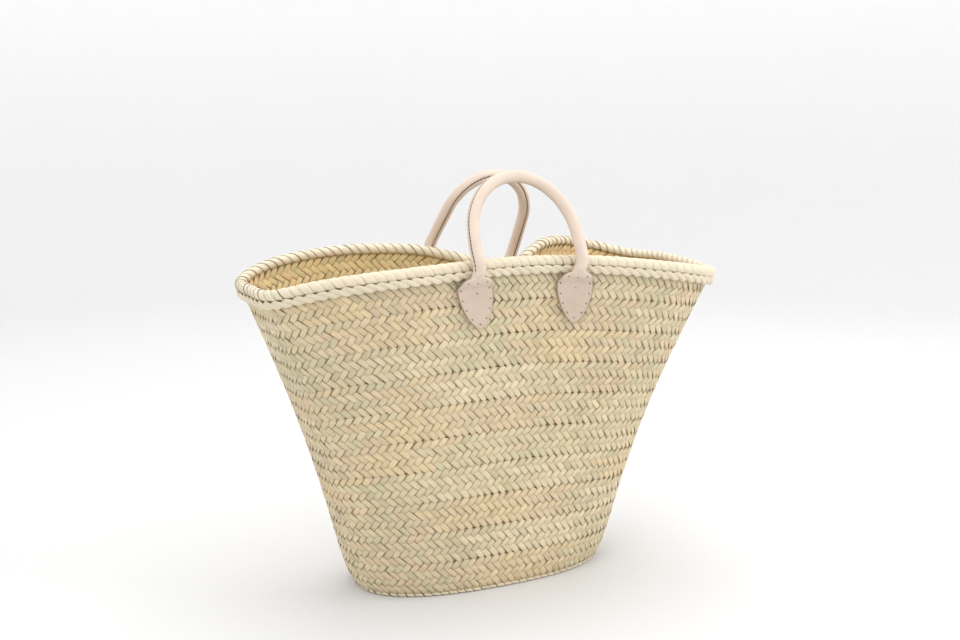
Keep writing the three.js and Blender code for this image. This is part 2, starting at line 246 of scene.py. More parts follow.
def strip_mesh(name, points, colour, along, across, aspect=4, cell_rings=None):
    """A mesh of closed strips. points has the shape strips, rings, sides, 3."""
    strips, rings, sides, _ = points.shape
    index = np.arange(strips * rings * sides).reshape(strips, rings, sides)
    here, there = index[:, :-1], index[:, 1:]
    quads = np.stack([here, np.roll(here, -1, 2), np.roll(there, -1, 2), there], -1).reshape(-1, 4)
    first, last = index[:, 0, ::-1], index[:, -1]
    a, b, c = (points.reshape(-1, 3)[quads[:, k]] for k in range(3))
    inside_out = np.einsum("ij,ij->i", a, np.cross(b, c)).sum() < 0
    order = slice(None, None, -1) if inside_out else slice(None)
    faces = [face[order] for block in (quads, first, last) for face in block.tolist()]
    mesh = bpy.data.meshes.new(name)
    mesh.from_pydata(points.reshape(-1, 3).tolist(), [], faces)
    mesh.polygons.foreach_set("use_smooth", np.ones(len(faces), bool))

    cell_rings = cell_rings or rings - 1
    per_strip = math.ceil((rings - 1) / cell_rings)
    columns, rows = atlas(strips * per_strip, aspect)
    strip, ring, side = np.meshgrid(
        np.arange(strips), np.arange(rings - 1), np.arange(sides), indexing="ij"
    )
    cell = (strip * per_strip + ring // cell_rings)[..., None]
    u = ((ring % cell_rings)[..., None] + np.array([0, 0, 1, 1])) / cell_rings
    v = (side[..., None] + np.array([0, 1, 1, 0])) / sides
    bake = np.stack([
        (cell % columns + CELL_MARGIN + CELL_INNER * u) / columns,
        (cell // columns + CELL_MARGIN + CELL_INNER * v) / rows,
    ], -1).reshape(-1, 4, 2)[:, order].reshape(-1, 2)
    ends = np.repeat(bake.reshape(strips, -1, 2)[:, [0, -1]], sides, 1).transpose(1, 0, 2)
    ends = ends.reshape(2, sides, strips, 2).transpose(0, 2, 1, 3).reshape(-1, 2)
    mesh.uv_layers.new(name="leaf")
    mesh.uv_layers.new(name="OFBake")
    corners = np.zeros(len(mesh.loops), int)
    mesh.loops.foreach_get("vertex_index", corners)
    leaf = np.stack([
        np.broadcast_to(along, (strips, rings, sides)).reshape(-1)[corners],
        np.broadcast_to(across, (strips, rings, sides)).reshape(-1)[corners],
    ], -1)
    mesh.uv_layers["leaf"].uv.foreach_set("vector", leaf.ravel())
    mesh.uv_layers["OFBake"].uv.foreach_set("vector", np.concatenate([bake, ends]).ravel())
    paint = np.ones((strips, rings, sides, 4))
    paint[..., :3] = colour
    layer = mesh.color_attributes.new("leaf_colour", "FLOAT_COLOR", "POINT")
    layer.data.foreach_set("color", paint.ravel())
    return mesh


def place_piece(name, mesh, material, body, nodes):
    """Puts a finished mesh in the scene as the piece that stands for these CAD nodes."""
    piece = bpy.data.objects.new(name, mesh)
    bpy.context.scene.collection.objects.link(piece)
    piece.data.materials.append(material)
    if body:
        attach(piece, body)
    if nodes:
        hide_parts(*nodes)
    return piece


LEAF_SECTION = np.array([(-1, 0), (-0.6, 0.9), (0.6, 0.9), (1, 0), (0.6, -0.9), (-0.6, -0.9)])

# %% [markdown]
# ## Finishes
# A finish is a small sum of patterns. Writing that sum as Python keeps it readable, so one
# class wraps a node's output and lets numbers and patterns be added and multiplied. Colours
# are mixed by a Mix node, because a Math node would turn them grey.


# %% Shader expressions
class Wire:
    """A number, colour or vector on its way through a material's nodes."""

    def __init__(self, tree, socket=None):
        self.tree = tree
        self.socket = socket

    def node(self, kind, settings=None, inputs=None, output=0):
        """Adds a node, makes its settings first and then feeds its sockets."""
        made = self.tree.nodes.new(kind)
        for name, value in (settings or {}).items():
            setattr(made, name, value)
        for name, value in (inputs or {}).items():
            if isinstance(value, Wire):
                self.tree.links.new(value.socket, made.inputs[name])
            else:
                made.inputs[name].default_value = value
        return Wire(self.tree, made.outputs[output])

    def maths(self, operation, *values):
        return self.node("ShaderNodeMath", {"operation": operation}, dict(enumerate(values)))

    def __add__(self, other):
        return self.maths("ADD", self, other)

    def __rsub__(self, other):
        return self.maths("SUBTRACT", other, self)

    def __mul__(self, other):
        return self.maths("MULTIPLY", self, other)

    __radd__ = __add__
    __rmul__ = __mul__

    def between(self, low, high):
        """0 below low, 1 above high and smooth in between."""
        settings = {"interpolation_type": "SMOOTHSTEP"}
        return self.node("ShaderNodeMapRange", settings, {0: self, 1: low, 2: high})

    def over(self, below, share, way="MIX"):
        """This colour laid over another by a share."""
        settings = {"data_type": "RGBA", "blend_type": way}
        return self.node("ShaderNodeMix", settings, {0: share, 6: below, 7: self}, 2)

    def colour(self, light):
        """A plain colour."""
        made = self.node("ShaderNodeRGB")
        made.socket.default_value = (*light, 1)
        return made

    def noise(self, place, scale, detail=2.0, roughness=0.5):
        inputs = {"Vector": place, "Scale": scale, "Detail": detail, "Roughness": roughness}
        return self.node("ShaderNodeTexNoise", None, inputs)

    def stretched(self, x, y, z=1.0):
        """This vector with its three parts multiplied."""
        settings = {"operation": "MULTIPLY"}
        return self.node("ShaderNodeVectorMath", settings, {0: self, 1: (x, y, z)})


def rgb(red, green, blue):
    """A colour from the three numbers of a paint chart, as light."""
    parts = np.array([red, green, blue]) / 255
    return np.where(parts < 0.04045, parts / 12.92, ((parts + 0.055) / 1.055) ** 2.4)


def new_finish(name, **uniform):
    """A material, the wire that its nodes grow from, and its shader."""
    material = bpy.data.materials.new(name)
    material.use_nodes = True
    shader = material.node_tree.nodes["Principled BSDF"]
    for socket, value in uniform.items():
        shader.inputs[socket.replace("_", " ")].default_value = value
    return material, Wire(material.node_tree), shader


def apply_finish(shader, colour, roughness, height, depth):
    """Links what changes over the surface. `height` is a pattern, `depth` its size in metres."""
    tree = shader.id_data
    bump = colour.node("ShaderNodeBump", None, {"Height": height, "Distance": depth})
    for name, wire in (("Base Color", colour), ("Roughness", roughness), ("Normal", bump)):
        tree.links.new(wire.socket, shader.inputs[name])


# %% [markdown]
# ### Palm leaf
# A dry leaf strip is a bundle of fine parallel veins with a soft gloss. Its colour was chosen
# strip by strip when the mesh was made, and the finish adds the veins, long pale and dark
# streaks, faint green patches and a few brown specks.


# %% Palm leaf finish
def palm_leaf(name, vein_depth, streak_strength, base_roughness):
    material, start, shader = new_finish(name, Specular_IOR_Level=0.42)
    leaf = start.node("ShaderNodeUVMap", {"uv_map": "leaf"})
    strip = start.node("ShaderNodeAttribute", {"attribute_name": "leaf_colour"})
    veins = start.noise(leaf.stretched(25, 2600), 1, 3, 0.6)
    streaks = start.noise(leaf.stretched(18, 520), 1, 2)
    blotch = start.noise(leaf.stretched(90, 160), 1, 3, 0.6)
    specks = start.noise(leaf.stretched(500, 1400), 1, 1).between(0.71, 0.78)
    shade = 1 - streak_strength * (streaks.between(0.25, 0.75) * 0.6 + veins * 0.5)
    grey = start.node("ShaderNodeCombineColor", None, {0: shade, 1: shade, 2: shade})
    colour = grey.over(strip, 1.0, "MULTIPLY")
    green = start.colour(rgb(176, 168, 112))
    colour = green.over(colour, blotch.between(0.55, 0.8) * 0.22)
    colour = start.colour(rgb(120, 88, 52)).over(colour, specks * 0.55)
    roughness = base_roughness + 0.16 * blotch
    apply_finish(shader, colour, roughness, veins + 0.6 * streaks, vein_depth)
    return material


plait_finish = palm_leaf("plaited_palm_leaf", 0.00022, 0.2, 0.48)
wrap_finish = palm_leaf("folded_palm_leaf", 0.00016, 0.16, 0.42)
print("palm leaf finishes:", plait_finish.name, wrap_finish.name)

# %% [markdown]
# ## Colours of the leaf
# The maker adds leaves to the plait a handful at a time, so neighbours along the band share a
# tint, and the tint drifts from cream to pale green, tan and straw. Each strip takes its tint
# from a slow wave along the band and a small change of its own. The side that shows inside the
# basket has seen less sun and is warmer, and it is also painted brighter: painted light for the
# light that fills the inside of the basket.

# %% Leaf colours
PALETTE = np.array([
    rgb(231, 214, 180),
    rgb(222, 206, 168),
    rgb(212, 201, 166),
    rgb(224, 202, 168),
    rgb(227, 205, 164),
])
PALE_LEAF = rgb(243, 232, 209)
# Inner face of each strip: a warmer tone, and painted light that makes it brighter.
INSIDE_WARMTH_AND_PAINTED_LIGHT = np.array([1.22, 1.12, 0.9])
PALEST = 0.94
random = np.random.default_rng(7)


def slow_wave(position, seed, periods=6):
    """A smooth made-up curve from 0 to 1 that never quite repeats."""
    draws = np.random.default_rng(seed)
    total = np.zeros_like(position, dtype=float)
    for k in range(1, periods + 1):
        total += np.sin(position * k * 1.7 + draws.uniform(0, 6.283)) / math.sqrt(k)
    return 0.5 + 0.5 * np.tanh(total * 0.8)


def leaf_tints(count, metres, seed):
    """One colour for each of `count` strips spread over `metres` of band."""
    place = np.arange(count) / count * metres * 6
    pick = slow_wave(place, seed) * (len(PALETTE) - 1) + random.normal(0, 0.3, count)
    pick = np.clip(pick, 0, len(PALETTE) - 1.001)
    low = np.floor(pick).astype(int)
    part = (pick - low)[:, None]
    tint = PALETTE[low] * (1 - part) + PALETTE[low + 1] * part
    return tint * random.normal(1, 0.045, (count, 1))


# %% [markdown]
# ## The plait
# The band is plaited from strips about 6 mm wide that run at 45 degrees both ways. Each strip
# goes over two and under two, which lines the floats up in rows that lean one way and then
# the other, like a row of chevrons. A picture of a weave would look flat from near by, so
# every strip is a closed ribbon. Its height follows a smooth square wave, and the strips that
# cross it follow the opposite wave, so they pass over and under each other. At the two edges of
# the band the strips fold back, so there they narrow and leave the small dark holes of the seam.

# %% Plait
LEAF_PITCH = 8.5 * MM
PLAIT_ROWS = 4
STEPS_PER_ROW = 6
RIBBON_HALF_WIDTH = 3.2 * MM
RIBBON_HALF_THICKNESS = 0.42 * MM
RIBBON_LIFT = 1.05 * MM
OVER_SHARE = 0.12
ROW_OVERLAP = 0.13
WEAVE_SHARPNESS = 2.4
FOLD_ROWS = 0.42
FOLD_LIFT = 0.25
FOLD_WIDTHS = (0.45, 0.9)
WIDTH_SPREAD = 0.045
THICKNESS_SPREAD = 0.12
WANDER = 0.05
SWAY = 0.03
UNEVEN_LIFT = 0.07 * MM
EDGE_SINK = 0.45 * MM


def weave_height(row):
    """1 where a strip that leans left is on top, -1 where it is below."""
    wave = np.sin(np.pi * row) + OVER_SHARE
    return np.tanh(WEAVE_SHARPNESS * wave) / np.tanh(WEAVE_SHARPNESS)


def plait_band(name, place, metres, row_height, seed, middle=-PLAIT_THICKNESS / 2):
    """One turn of the band. place takes a share of the way round, rows up the band, and out."""
    count = round(metres / LEAF_PITCH)
    pitch = metres / count
    row = np.linspace(-ROW_OVERLAP, PLAIT_ROWS + ROW_OVERLAP, PLAIT_ROWS * STEPS_PER_ROW + 1)
    edge = np.clip(np.minimum(row - row[0], row[-1] - row) / FOLD_ROWS, 0, 1)
    fold = np.sqrt(1 - (1 - edge) ** 2)
    blocks = []
    for lean in (1, -1):
        start = np.arange(count)[:, None]
        wander = random.normal(0, WANDER, (count, 1))
        swing = random.normal(0, SWAY, (count, 1)) * np.sin(
            row * random.uniform(1.2, 2.2, (count, 1)) + random.uniform(0, 6.283, (count, 1))
        )
        across_turns = start + lean * (row - 0.25) + wander + swing
        lift = -lean * RIBBON_LIFT * weave_height(row) * (FOLD_LIFT + (1 - FOLD_LIFT) * fold)
        lift = lift + random.normal(0, UNEVEN_LIFT, (count, 1)) - EDGE_SINK * (1 - fold)
        narrow = random.uniform(*FOLD_WIDTHS, (count, 1))
        width = RIBBON_HALF_WIDTH * random.normal(1, WIDTH_SPREAD, (count, 1))
        width = width * (narrow + (1 - narrow) * fold)
        tilt = random.normal(0.06 * lean, 0.06, (count, 1, 1))
        offset = width[..., None] * LEAF_SECTION[:, 0]
        thick = RIBBON_HALF_THICKNESS * random.normal(1, THICKNESS_SPREAD, (count, 1, 1))
        thick = thick * LEAF_SECTION[:, 1]
        shift = offset / math.sqrt(2)
        turns = (across_turns[..., None] + shift / pitch) / count
        rows = row[None, :, None] - lean * shift / row_height
        out = middle + lift[..., None] + thick + tilt * offset
        tint = leaf_tints(count, metres, seed)[:, None, None] * np.ones((1, len(row), 6, 1))
        inside = (LEAF_SECTION[:, 1] < 0)[:, None]
        # The inner half of each strip's section takes the warmer tone and the painted light.
        tint = np.minimum(PALEST, tint * np.where(inside, INSIDE_WARMTH_AND_PAINTED_LIGHT, 1.0))
        length = row * row_height * math.sqrt(2) + random.uniform(0, 9, (count, 1))
        side = offset + random.uniform(0, 9, (count, 1, 1))
        blocks.append((place(turns, rows, out), tint, length[..., None] + 0 * offset, side))
    points, tint, length, side = (np.concatenate(part) for part in zip(*blocks))
    return strip_mesh(name, points, tint, length, side)


# %% [markdown]
# ### The turns of the wall
# Each CAD ring says where one turn of the band lies. The number of strips in a turn follows
# from the way round it, so the leaf keeps one width from the foot to the rim.

# %% Wall turns
GAP = 0.3 * MM
WELT_HEIGHT = 5 * MM
ROLL_RADIUS = 5.8 * MM
ROLL_LEAF = 1.4 * MM
courses = sorted(
    (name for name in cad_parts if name.startswith("wall_course_")),
    key=lambda name: int(name.rsplit("_", 1)[1]),
)
roll_along = WALL_SLANT - ROLL_RADIUS
wall_foot = WELT_HEIGHT + GAP
wall_top = roll_along - (ROLL_RADIUS - ROLL_LEAF - GAP) - GAP
course_height = (wall_top - wall_foot) / len(courses)
row_height = course_height / PLAIT_ROWS

for i, node in enumerate(courses):
    low = wall_foot + i * course_height
    mesh = plait_band(
        f"plait_turn_{i + 1}",
        lambda turn, row, out, low=low: wall_point(turn, low + row * row_height, out),
        length_round(low + course_height / 2),
        row_height,
        seed=20 + i,
    )
    place_piece(mesh.name, mesh, plait_finish, "basket", [node])
print("turns:", len(courses), "rows %.1f mm high" % (row_height / MM))

# %% [markdown]
# ### The base
# The band starts in the middle of the base, doubled back on itself, and makes one more turn
# before the welt. It is the same plait, laid flat.

# %% Base
BASE_TURN_WIDTH = 34 * MM
WELT_WIDTH = 7 * MM
WELT_PROUD = 1.5 * MM
plate_inset = WELT_WIDTH - WELT_PROUD + GAP
centre_inset = plate_inset + BASE_TURN_WIDTH
slit_inset = BASE_HALF_WIDTH - CORNER_INSET - 1.2 * MM


def foot_point(turn, height, inset):
    """A point beside the foot of the wall."""
    x, y = base_curve(base_share(turn), CORNER_INSET + inset)
    return np.stack(np.broadcast_arrays(x, y, height), -1)


def base_turn(name, outer, inner, node, seed):
    height = (inner - outer) / PLAIT_ROWS
    metres = path_length(foot_point(np.linspace(0, 1, 361), 0, (outer + inner) / 2))
    mesh = plait_band(
        name,
        lambda turn, row, out: foot_point(turn, out, outer + row * height),
        metres,
        height,
        seed,
        middle=PLAIT_THICKNESS / 2,
    )
    place_piece(name, mesh, plait_finish, "basket", [node])


base_turn("base_outer_turn", plate_inset, centre_inset - GAP, "base_outer_plait", 41)
base_turn("base_centre_turn", centre_inset, slit_inset, "base_centre_plait", 42)
print("base turns %.0f and %.0f mm wide" % (BASE_TURN_WIDTH / MM, (slit_inset - centre_inset) / MM))

# %% [markdown]
# ## The rim
# The top edge of the plait is hidden in a roll of stems, and a folded leaf winds over the roll
# and back through the plait. Each wrap leans, and its edge lies on the one before. The stems
# show only in the small holes between the wraps, so their CAD ring stays, in a dark finish.

# %% Wraps of the rim
WRAP_PITCH = 10 * MM
WRAP_STEPS = 18
WRAP_SLANT = 0.9
WRAP_BEND = 0.06
WRAP_HALF_WIDTH = 6.3 * MM
WRAP_HALF_THICKNESS = 0.32 * MM
WRAP_CROWN = 0.12 * MM
WRAP_TILT = 0.07
TUCK_ANGLE = 0.55
TUCK_DEPTH = 0.3 * MM
TUCK_WIDTH = 0.74
roll_out = -PLAIT_THICKNESS / 2


def wraps(name, count, centre, radii, lips, slant, half_width, place, tones):
    """Leaves wound round a roll. centre is (along, out) and lips the first and last angle."""
    angle = np.linspace(*lips, WRAP_STEPS + 1)
    middle = (angle - np.pi) / np.pi
    ends = np.clip(np.minimum(angle - angle[0], angle[-1] - angle) / TUCK_ANGLE, 0, 1)
    k = np.arange(count)[:, None]
    bend = WRAP_BEND * np.cos(np.pi * middle) * random.normal(1, 0.2, (count, 1))
    turns = k - slant * np.sin(middle * np.pi / 2) + bend + random.normal(0, 0.05, (count, 1))
    width = half_width * (TUCK_WIDTH + (1 - TUCK_WIDTH) * np.sqrt(ends))
    width = width * random.normal(1, 0.05, (count, 1))
    offset = width[..., None] * LEAF_SECTION[:, 0]
    lift = WRAP_HALF_THICKNESS * LEAF_SECTION[:, 1] + WRAP_TILT * offset
    lift = lift + 0.08 * MM * random.normal(0, 1, (count, 1, 1))
    crown = WRAP_CROWN * (1 - LEAF_SECTION[:, 0] ** 2)
    reach = lift + crown - TUCK_DEPTH * (1 - ends[None, :, None])
    along = centre[0] - (radii[0] + reach) * np.cos(angle)[None, :, None]
    out = centre[1] + (radii[1] + reach) * np.sin(angle)[None, :, None]
    share = (turns[..., None] + offset / WRAP_PITCH) / count
    tint = tones[:, None, None] * np.ones((1, len(angle), 6, 1))
    length = angle * radii[0] + random.uniform(0, 9, (count, 1))
    side = offset + random.uniform(0, 9, (count, 1, 1))
    points = place(share, along + 0 * share, out + 0 * share)
    return strip_mesh(name, points, tint, length[..., None] + 0 * offset, side, aspect=3)


rim_length = length_round(roll_along)
wrap_count = round(rim_length / WRAP_PITCH)
lip = math.asin((PLAIT_THICKNESS / 2 + GAP) / (ROLL_RADIUS - ROLL_LEAF))
wrap_tones = leaf_tints(wrap_count, rim_length, 51) * 0.35 + PALE_LEAF * 0.66
wrap_mesh = wraps(
    "rim_wraps",
    wrap_count,
    (roll_along, roll_out),
    (ROLL_RADIUS - 0.5 * MM, ROLL_RADIUS - 0.5 * MM),
    (lip, 2 * math.pi - lip),
    WRAP_SLANT,
    WRAP_HALF_WIDTH,
    wall_point,
    wrap_tones,
)
place_piece("rim_wraps", wrap_mesh, wrap_finish, "basket", ["rim_leaf_wrap"])
print("wraps round the rim:", wrap_count)

# %% [markdown]
# ### The cord under the rim
# Two folded strands twist round each other and are sewn to the wall below the roll. A strand
# is one long closed ribbon that circles the cord's middle as it goes round the basket.

# %% Cord under the rim
RIM_CORD_HEIGHT = 8.4 * MM
RIM_CORD_DEPTH = 4.6 * MM
TWIST_LENGTH = 23 * MM
RINGS_PER_TWIST = 14
CORD_TUCK = 2.4 * MM
CORD_PROUD = 0.5 * MM
STRAND_SIDES = 10
STRAND_OFFSET = (0.5, 0.42)
STRAND_SIZE = (0.68, 0.66)
strand_angle = np.arange(STRAND_SIDES) * math.pi / 5
STRAND_SECTION = np.stack([np.cos(strand_angle), np.sin(strand_angle)], -1)


def twisted_cord(name, length, middle, half_height, half_depth, place, seed, lean=1):
    """Two strands round (along, out) `middle`. place takes a share of the way round."""
    twists = round(length / TWIST_LENGTH)
    steps = np.arange(twists * RINGS_PER_TWIST + 1)
    blocks = []
    for strand in (0, 1):
        phase = lean * 2 * np.pi * steps / RINGS_PER_TWIST + strand * np.pi
        loose = 1 + 0.09 * (slow_wave(steps / RINGS_PER_TWIST * 2.1, seed + strand) - 0.5)
        along = middle[0] + STRAND_OFFSET[0] * half_height * np.cos(phase)
        out = middle[1] + STRAND_OFFSET[1] * half_depth * np.sin(phase)
        thick = (STRAND_SIZE[0] * loose)[:, None] * STRAND_SECTION[:, 0] * half_height
        deep = (STRAND_SIZE[1] * loose)[:, None] * STRAND_SECTION[:, 1] * half_depth
        share = np.broadcast_to((steps / steps[-1])[:, None], thick.shape)
        points = place(share, along[:, None] + thick, out[:, None] + deep)
        tint = leaf_tints(len(steps), length, seed + strand)
        blocks.append((points, tint, steps / steps[-1] * length))
    points = np.stack([block[0] for block in blocks])
    tint = np.stack([block[1] for block in blocks])[:, :, None]
    tint = tint * 0.35 + PALE_LEAF * 0.6
    metres = np.stack([block[2] for block in blocks])[..., None]
    side = np.arange(STRAND_SIDES) * half_height * 0.4
    return strip_mesh(name, points, tint, metres, side, aspect=3, cell_rings=RINGS_PER_TWIST)


cord_along = roll_along - ROLL_RADIUS - RIM_CORD_HEIGHT / 2 - GAP
cord_mesh = twisted_cord(
    "rim_cord",
    length_round(cord_along),
    (cord_along + CORD_TUCK, RIM_CORD_DEPTH / 2 + GAP + CORD_PROUD),
    RIM_CORD_HEIGHT / 2,
    RIM_CORD_DEPTH / 2,
    wall_point,
    61,
)
place_piece("rim_cord", cord_mesh, wrap_finish, "basket", ["rim_twisted_cord"])

# %% [markdown]
# ### The welt round the base
# The basket stands on a thin roll that is wrapped like the rim, only smaller.

# %% Welt
WELT_PITCH = 9 * MM
WELT_SLANT = 0.5
WELT_WRAP_HALF_WIDTH = 5.1 * MM
welt_length = path_length(foot_point(np.linspace(0, 1, 361), 0, 0))
welt_count = round(welt_length / WELT_PITCH)
welt_middle = (WELT_WIDTH / 2 - WELT_PROUD, WELT_HEIGHT / 2)
welt_mesh = wraps(
    "welt_wraps",
    welt_count,
    (WELT_HEIGHT / 2, -welt_middle[0]),
    (WELT_HEIGHT / 2 - 0.6 * MM, WELT_WIDTH / 2 - 0.7 * MM),
    (-0.55 * math.pi, 1.3 * math.pi),
    WELT_SLANT,
    WELT_WRAP_HALF_WIDTH,
    lambda turn, height, out: foot_point(turn, height, -out),
    leaf_tints(welt_count, welt_length, 71) * 0.5 + PALE_LEAF * 0.45,
)
place_piece("welt_wraps", welt_mesh, wrap_finish, "basket", ["base_welt"])
print("wraps round the base:", welt_count)

# %% [markdown]
# ### What shows through the holes
# The stems in the roll and the cord that sews the turns together keep their CAD shapes. Only
# slivers of them are seen, so a dark, fibrous finish is enough.


# %% Stems and sewing cord
def dark_fibre(name, dark, pale, scale):
    material, start, shader = new_finish(name, Specular_IOR_Level=0.2)
    place = start.node("ShaderNodeTexCoord", None, None, 3)
    grain = start.noise(place, scale, 4, 0.7)
    colour = start.colour(pale).over(start.colour(dark), grain.between(0.35, 0.7))
    apply_finish(shader, colour, 0.75 + 0.2 * grain, grain, 0.0005)
    return material


stem_finish = dark_fibre("rim_stems", rgb(92, 70, 38), rgb(158, 128, 78), 900)
cord_finish = dark_fibre("sewing_cord", rgb(74, 56, 30), rgb(140, 112, 66), 1200)
for name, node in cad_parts.items():
    if name == "rim_core_stems" or name.startswith("sewing_cord"):
        node.data.materials.clear()
        node.data.materials.append(stem_finish if name == "rim_core_stems" else cord_finish)

# %% [markdown]
# ### Loose fibres
# Dry leaf splits, and a few hair-thin fibres stand off the rim. They could come from a particle
# system, but a handful of bent, tapered hairs is easier to place and stays the same every time.


# %% Loose fibres
def loose_fibres(turns, seed, radius=0.16 * MM):
    """One hair for each share of the way round, from the rim outwards and along it."""
    draws = np.random.default_rng(seed)
    count = len(turns)
    roots = wall_point(turns, roll_along + draws.uniform(-3, 3, count) * MM, ROLL_RADIUS * 0.55)
    rim_way = unit(wall_face(turns + 0.004, roll_along) - wall_face(turns - 0.004, roll_along))
    out_way = wall_normal(turns, np.full(count, roll_along))
    way = unit(rim_way * draws.choice([-1, 1], (count, 1)) + out_way * draws.uniform(0.1, 0.5, (count, 1)))
    bend = draws.normal(0, 0.25, (count, 3)) + np.array([0, 0, -0.15])
    length = draws.uniform(7, 15, (count, 1)) * MM
    t = np.linspace(0, 1, 9)[:, None]
    path = roots[:, None] + (way * length)[:, None] * t + (bend * length)[:, None] * t**2
    side = unit(np.cross(way, [0.0, 0.0, 1.0]))
    angle = np.arange(4) * math.pi / 2
    ring = np.cos(angle)[:, None] * side[:, None] + np.sin(angle)[:, None] * np.cross(side, way)[:, None]
    thin = radius * (1 - 0.7 * t[:, :, None])
    points = path[:, :, None] + thin[None] * ring[:, None]
    along = np.broadcast_to(t[None] * 0.01, points.shape[:3])
    return strip_mesh("loose_fibres", points, PALE_LEAF, along, angle * MM)


fibre_turns = np.array([0.003, 0.012, 0.985, 0.03, 0.1, 0.22, 0.41, 0.52, 0.58, 0.64, 0.79, 0.86, 0.93])
fibre_mesh = loose_fibres(fibre_turns, 81)
place_piece("loose_fibres", fibre_mesh, wrap_finish, "basket", [])
print("loose fibres:", len(fibre_turns))

# %% [markdown]
# ## The handles
# A handle is one strip of leather. It is rolled round a rope and sewn shut, and its two ends
# open out flat into tabs that are stitched to the wall. It could be made as a tube and two
# plates, but then a seam would show at each neck where the real one has none. Here one skin
# runs from the tip of one tab, over the arch, to the tip of the other.

# %% Line of a handle
HANDLE_RADIUS = 6.3 * MM
FREE_GAP = 1 * MM
SEAT_GAP = 1.1 * MM
TAB_LENGTH = 49 * MM
TAB_HALF_WIDTH = 21 * MM
TAB_THICKNESS = 2.6 * MM
TAB_THREAD_RADIUS = 0.6 * MM
NECK_DROP = 7.5 * MM
HANDLES = {
    "front": {
        "at": 4 * MM,
        "spacing": 120 * MM,
        "rise": 20 * MM,
        "lean": 27,
        "arch_width": 118 * MM,
        "arch_height": 69 * MM,
        "tab_lean": 0.17,
    },
    "back": {
        "at": 19 * MM,
        "spacing": 110 * MM,
        "rise": 38 * MM,
        "lean": 27,
        "arch_width": 94 * MM,
        "arch_height": 59 * MM,
        "tab_lean": 0.0,
    },
}
tab_top = cord_along - RIM_CORD_HEIGHT / 2 - GAP
neck_along = tab_top - NECK_DROP
neck_out = SEAT_GAP + TAB_THICKNESS + GAP + 2 * TAB_THREAD_RADIUS + FREE_GAP / 2 + HANDLE_RADIUS
rest_radius = ROLL_RADIUS + FREE_GAP + HANDLE_RADIUS
past_cord_out = max(GAP + RIM_CORD_DEPTH + FREE_GAP + HANDLE_RADIUS, roll_out + rest_radius)


def turn_at(x, on_back):
    """The share of the way round at which the mouth passes x."""
    turns = np.linspace(0.001, 0.499, 4000) + (0 if on_back else 0.5)
    mouth_x = mouth_curve(mouth_share(turns))[0]
    return turns[np.argmin(abs(mouth_x - x))]


def smooth_line(points, steps):
    """A centripetal Catmull-Rom curve through the points, with evenly spaced results."""
    points = np.array(points)
    ends = [2 * points[0] - points[1]], [2 * points[-1] - points[-2]]
    p = np.concatenate([ends[0], points, ends[1]])
    knots = np.sqrt(np.linalg.norm(np.diff(p, axis=0), axis=1))
    fine = []
    for i in range(1, len(p) - 2):
        before, span, after = knots[i - 1:i + 2]
        leave = (p[i] - p[i - 1]) / before - (p[i + 1] - p[i - 1]) / (before + span)
        leave = span * (leave + (p[i + 1] - p[i]) / span)
        arrive = (p[i + 1] - p[i]) / span - (p[i + 2] - p[i]) / (span + after)
        arrive = span * (arrive + (p[i + 2] - p[i + 1]) / after)
        t = np.linspace(0, 1, 40, endpoint=False)[:, None]
        square = (-3 * p[i] + 3 * p[i + 1] - 2 * leave - arrive) * t**2
        fine.append(p[i] + leave * t + square + (2 * p[i] - 2 * p[i + 1] + leave + arrive) * t**3)
    fine = np.concatenate([*fine, points[-1:]])
    metres = length_so_far(fine)
    even = np.linspace(0, metres[-1], steps + 1)
    return np.stack([np.interp(even, metres, fine[:, k]) for k in range(3)], -1), metres[-1]


def handle_points(turns, sizes, inward):
    """The points that one handle's middle passes, from neck to neck."""
    lean = math.radians(sizes["lean"])
    legs = []
    for turn in turns:
        middle = wall_point(turn, roll_along, roll_out)
        out = wall_normal(turn, roll_along)
        up = unit(wall_point(turn, roll_along + MM, roll_out) - middle)
        bend = lean + math.atan2(-up @ inward, up[2])

        def on_roll(angle, middle=middle, out=out, up=up):
            return middle + rest_radius * (out * math.cos(angle) + up * math.sin(angle))

        low = [wall_point(turn, neck_along, neck_out), wall_point(turn, cord_along, past_cord_out)]
        legs.append([*low, on_roll(0), on_roll(bend / 2), on_roll(bend)])
    across = unit(legs[1][-1] - legs[0][-1])
    uphill = inward * math.sin(lean) + np.array([0, 0, math.cos(lean)])
    uphill = unit(uphill - across * (uphill @ across))
    middle = (legs[0][-1] + legs[1][-1]) / 2
    half, height = sizes["arch_width"] / 2, sizes["arch_height"]
    arch = [
        middle - across * half * math.cos(a) + uphill * (sizes["rise"] + height * math.sin(a))
        for a in np.linspace(0, math.pi, 9)
    ]
    return [*legs[0], *arch, *legs[1][::-1]]


# %% [markdown]
# ### Outline of a tab
# The tab is shaped like a spade: full shoulders that reach up over the rim cord, then two long
# curves to a rounded tip. It is sewn on through holes that follow its edge.


# %% Tab outline
def bezier(p0, p1, p2, p3, t):
    t = t[:, None]
    terms = ((1 - t) ** 3, 3 * (1 - t) ** 2 * t, 3 * (1 - t) * t**2, t**3)
    return sum(np.array(p) * term for p, term in zip((p0, p1, p2, p3), terms))


SHOULDER_RISE = 7 * MM
SHOULDER_DROP = 12 * MM


def tab_edge(inset=0.0, steps=60):
    """Half of the outline, from the middle of the top to the tip: half width and drop."""
    half, top, tip = TAB_HALF_WIDTH - inset, inset - SHOULDER_RISE, TAB_LENGTH - inset
    t = np.linspace(0, 1, steps)
    upper = bezier((0, top), (0.8 * half, top), (half, 0.2 * SHOULDER_DROP), (half, SHOULDER_DROP), t)
    lower = bezier((half, SHOULDER_DROP), (half, 0.55 * TAB_LENGTH), (0.5 * half, tip), (0, tip), t)
    return np.concatenate([upper, lower[1:]])


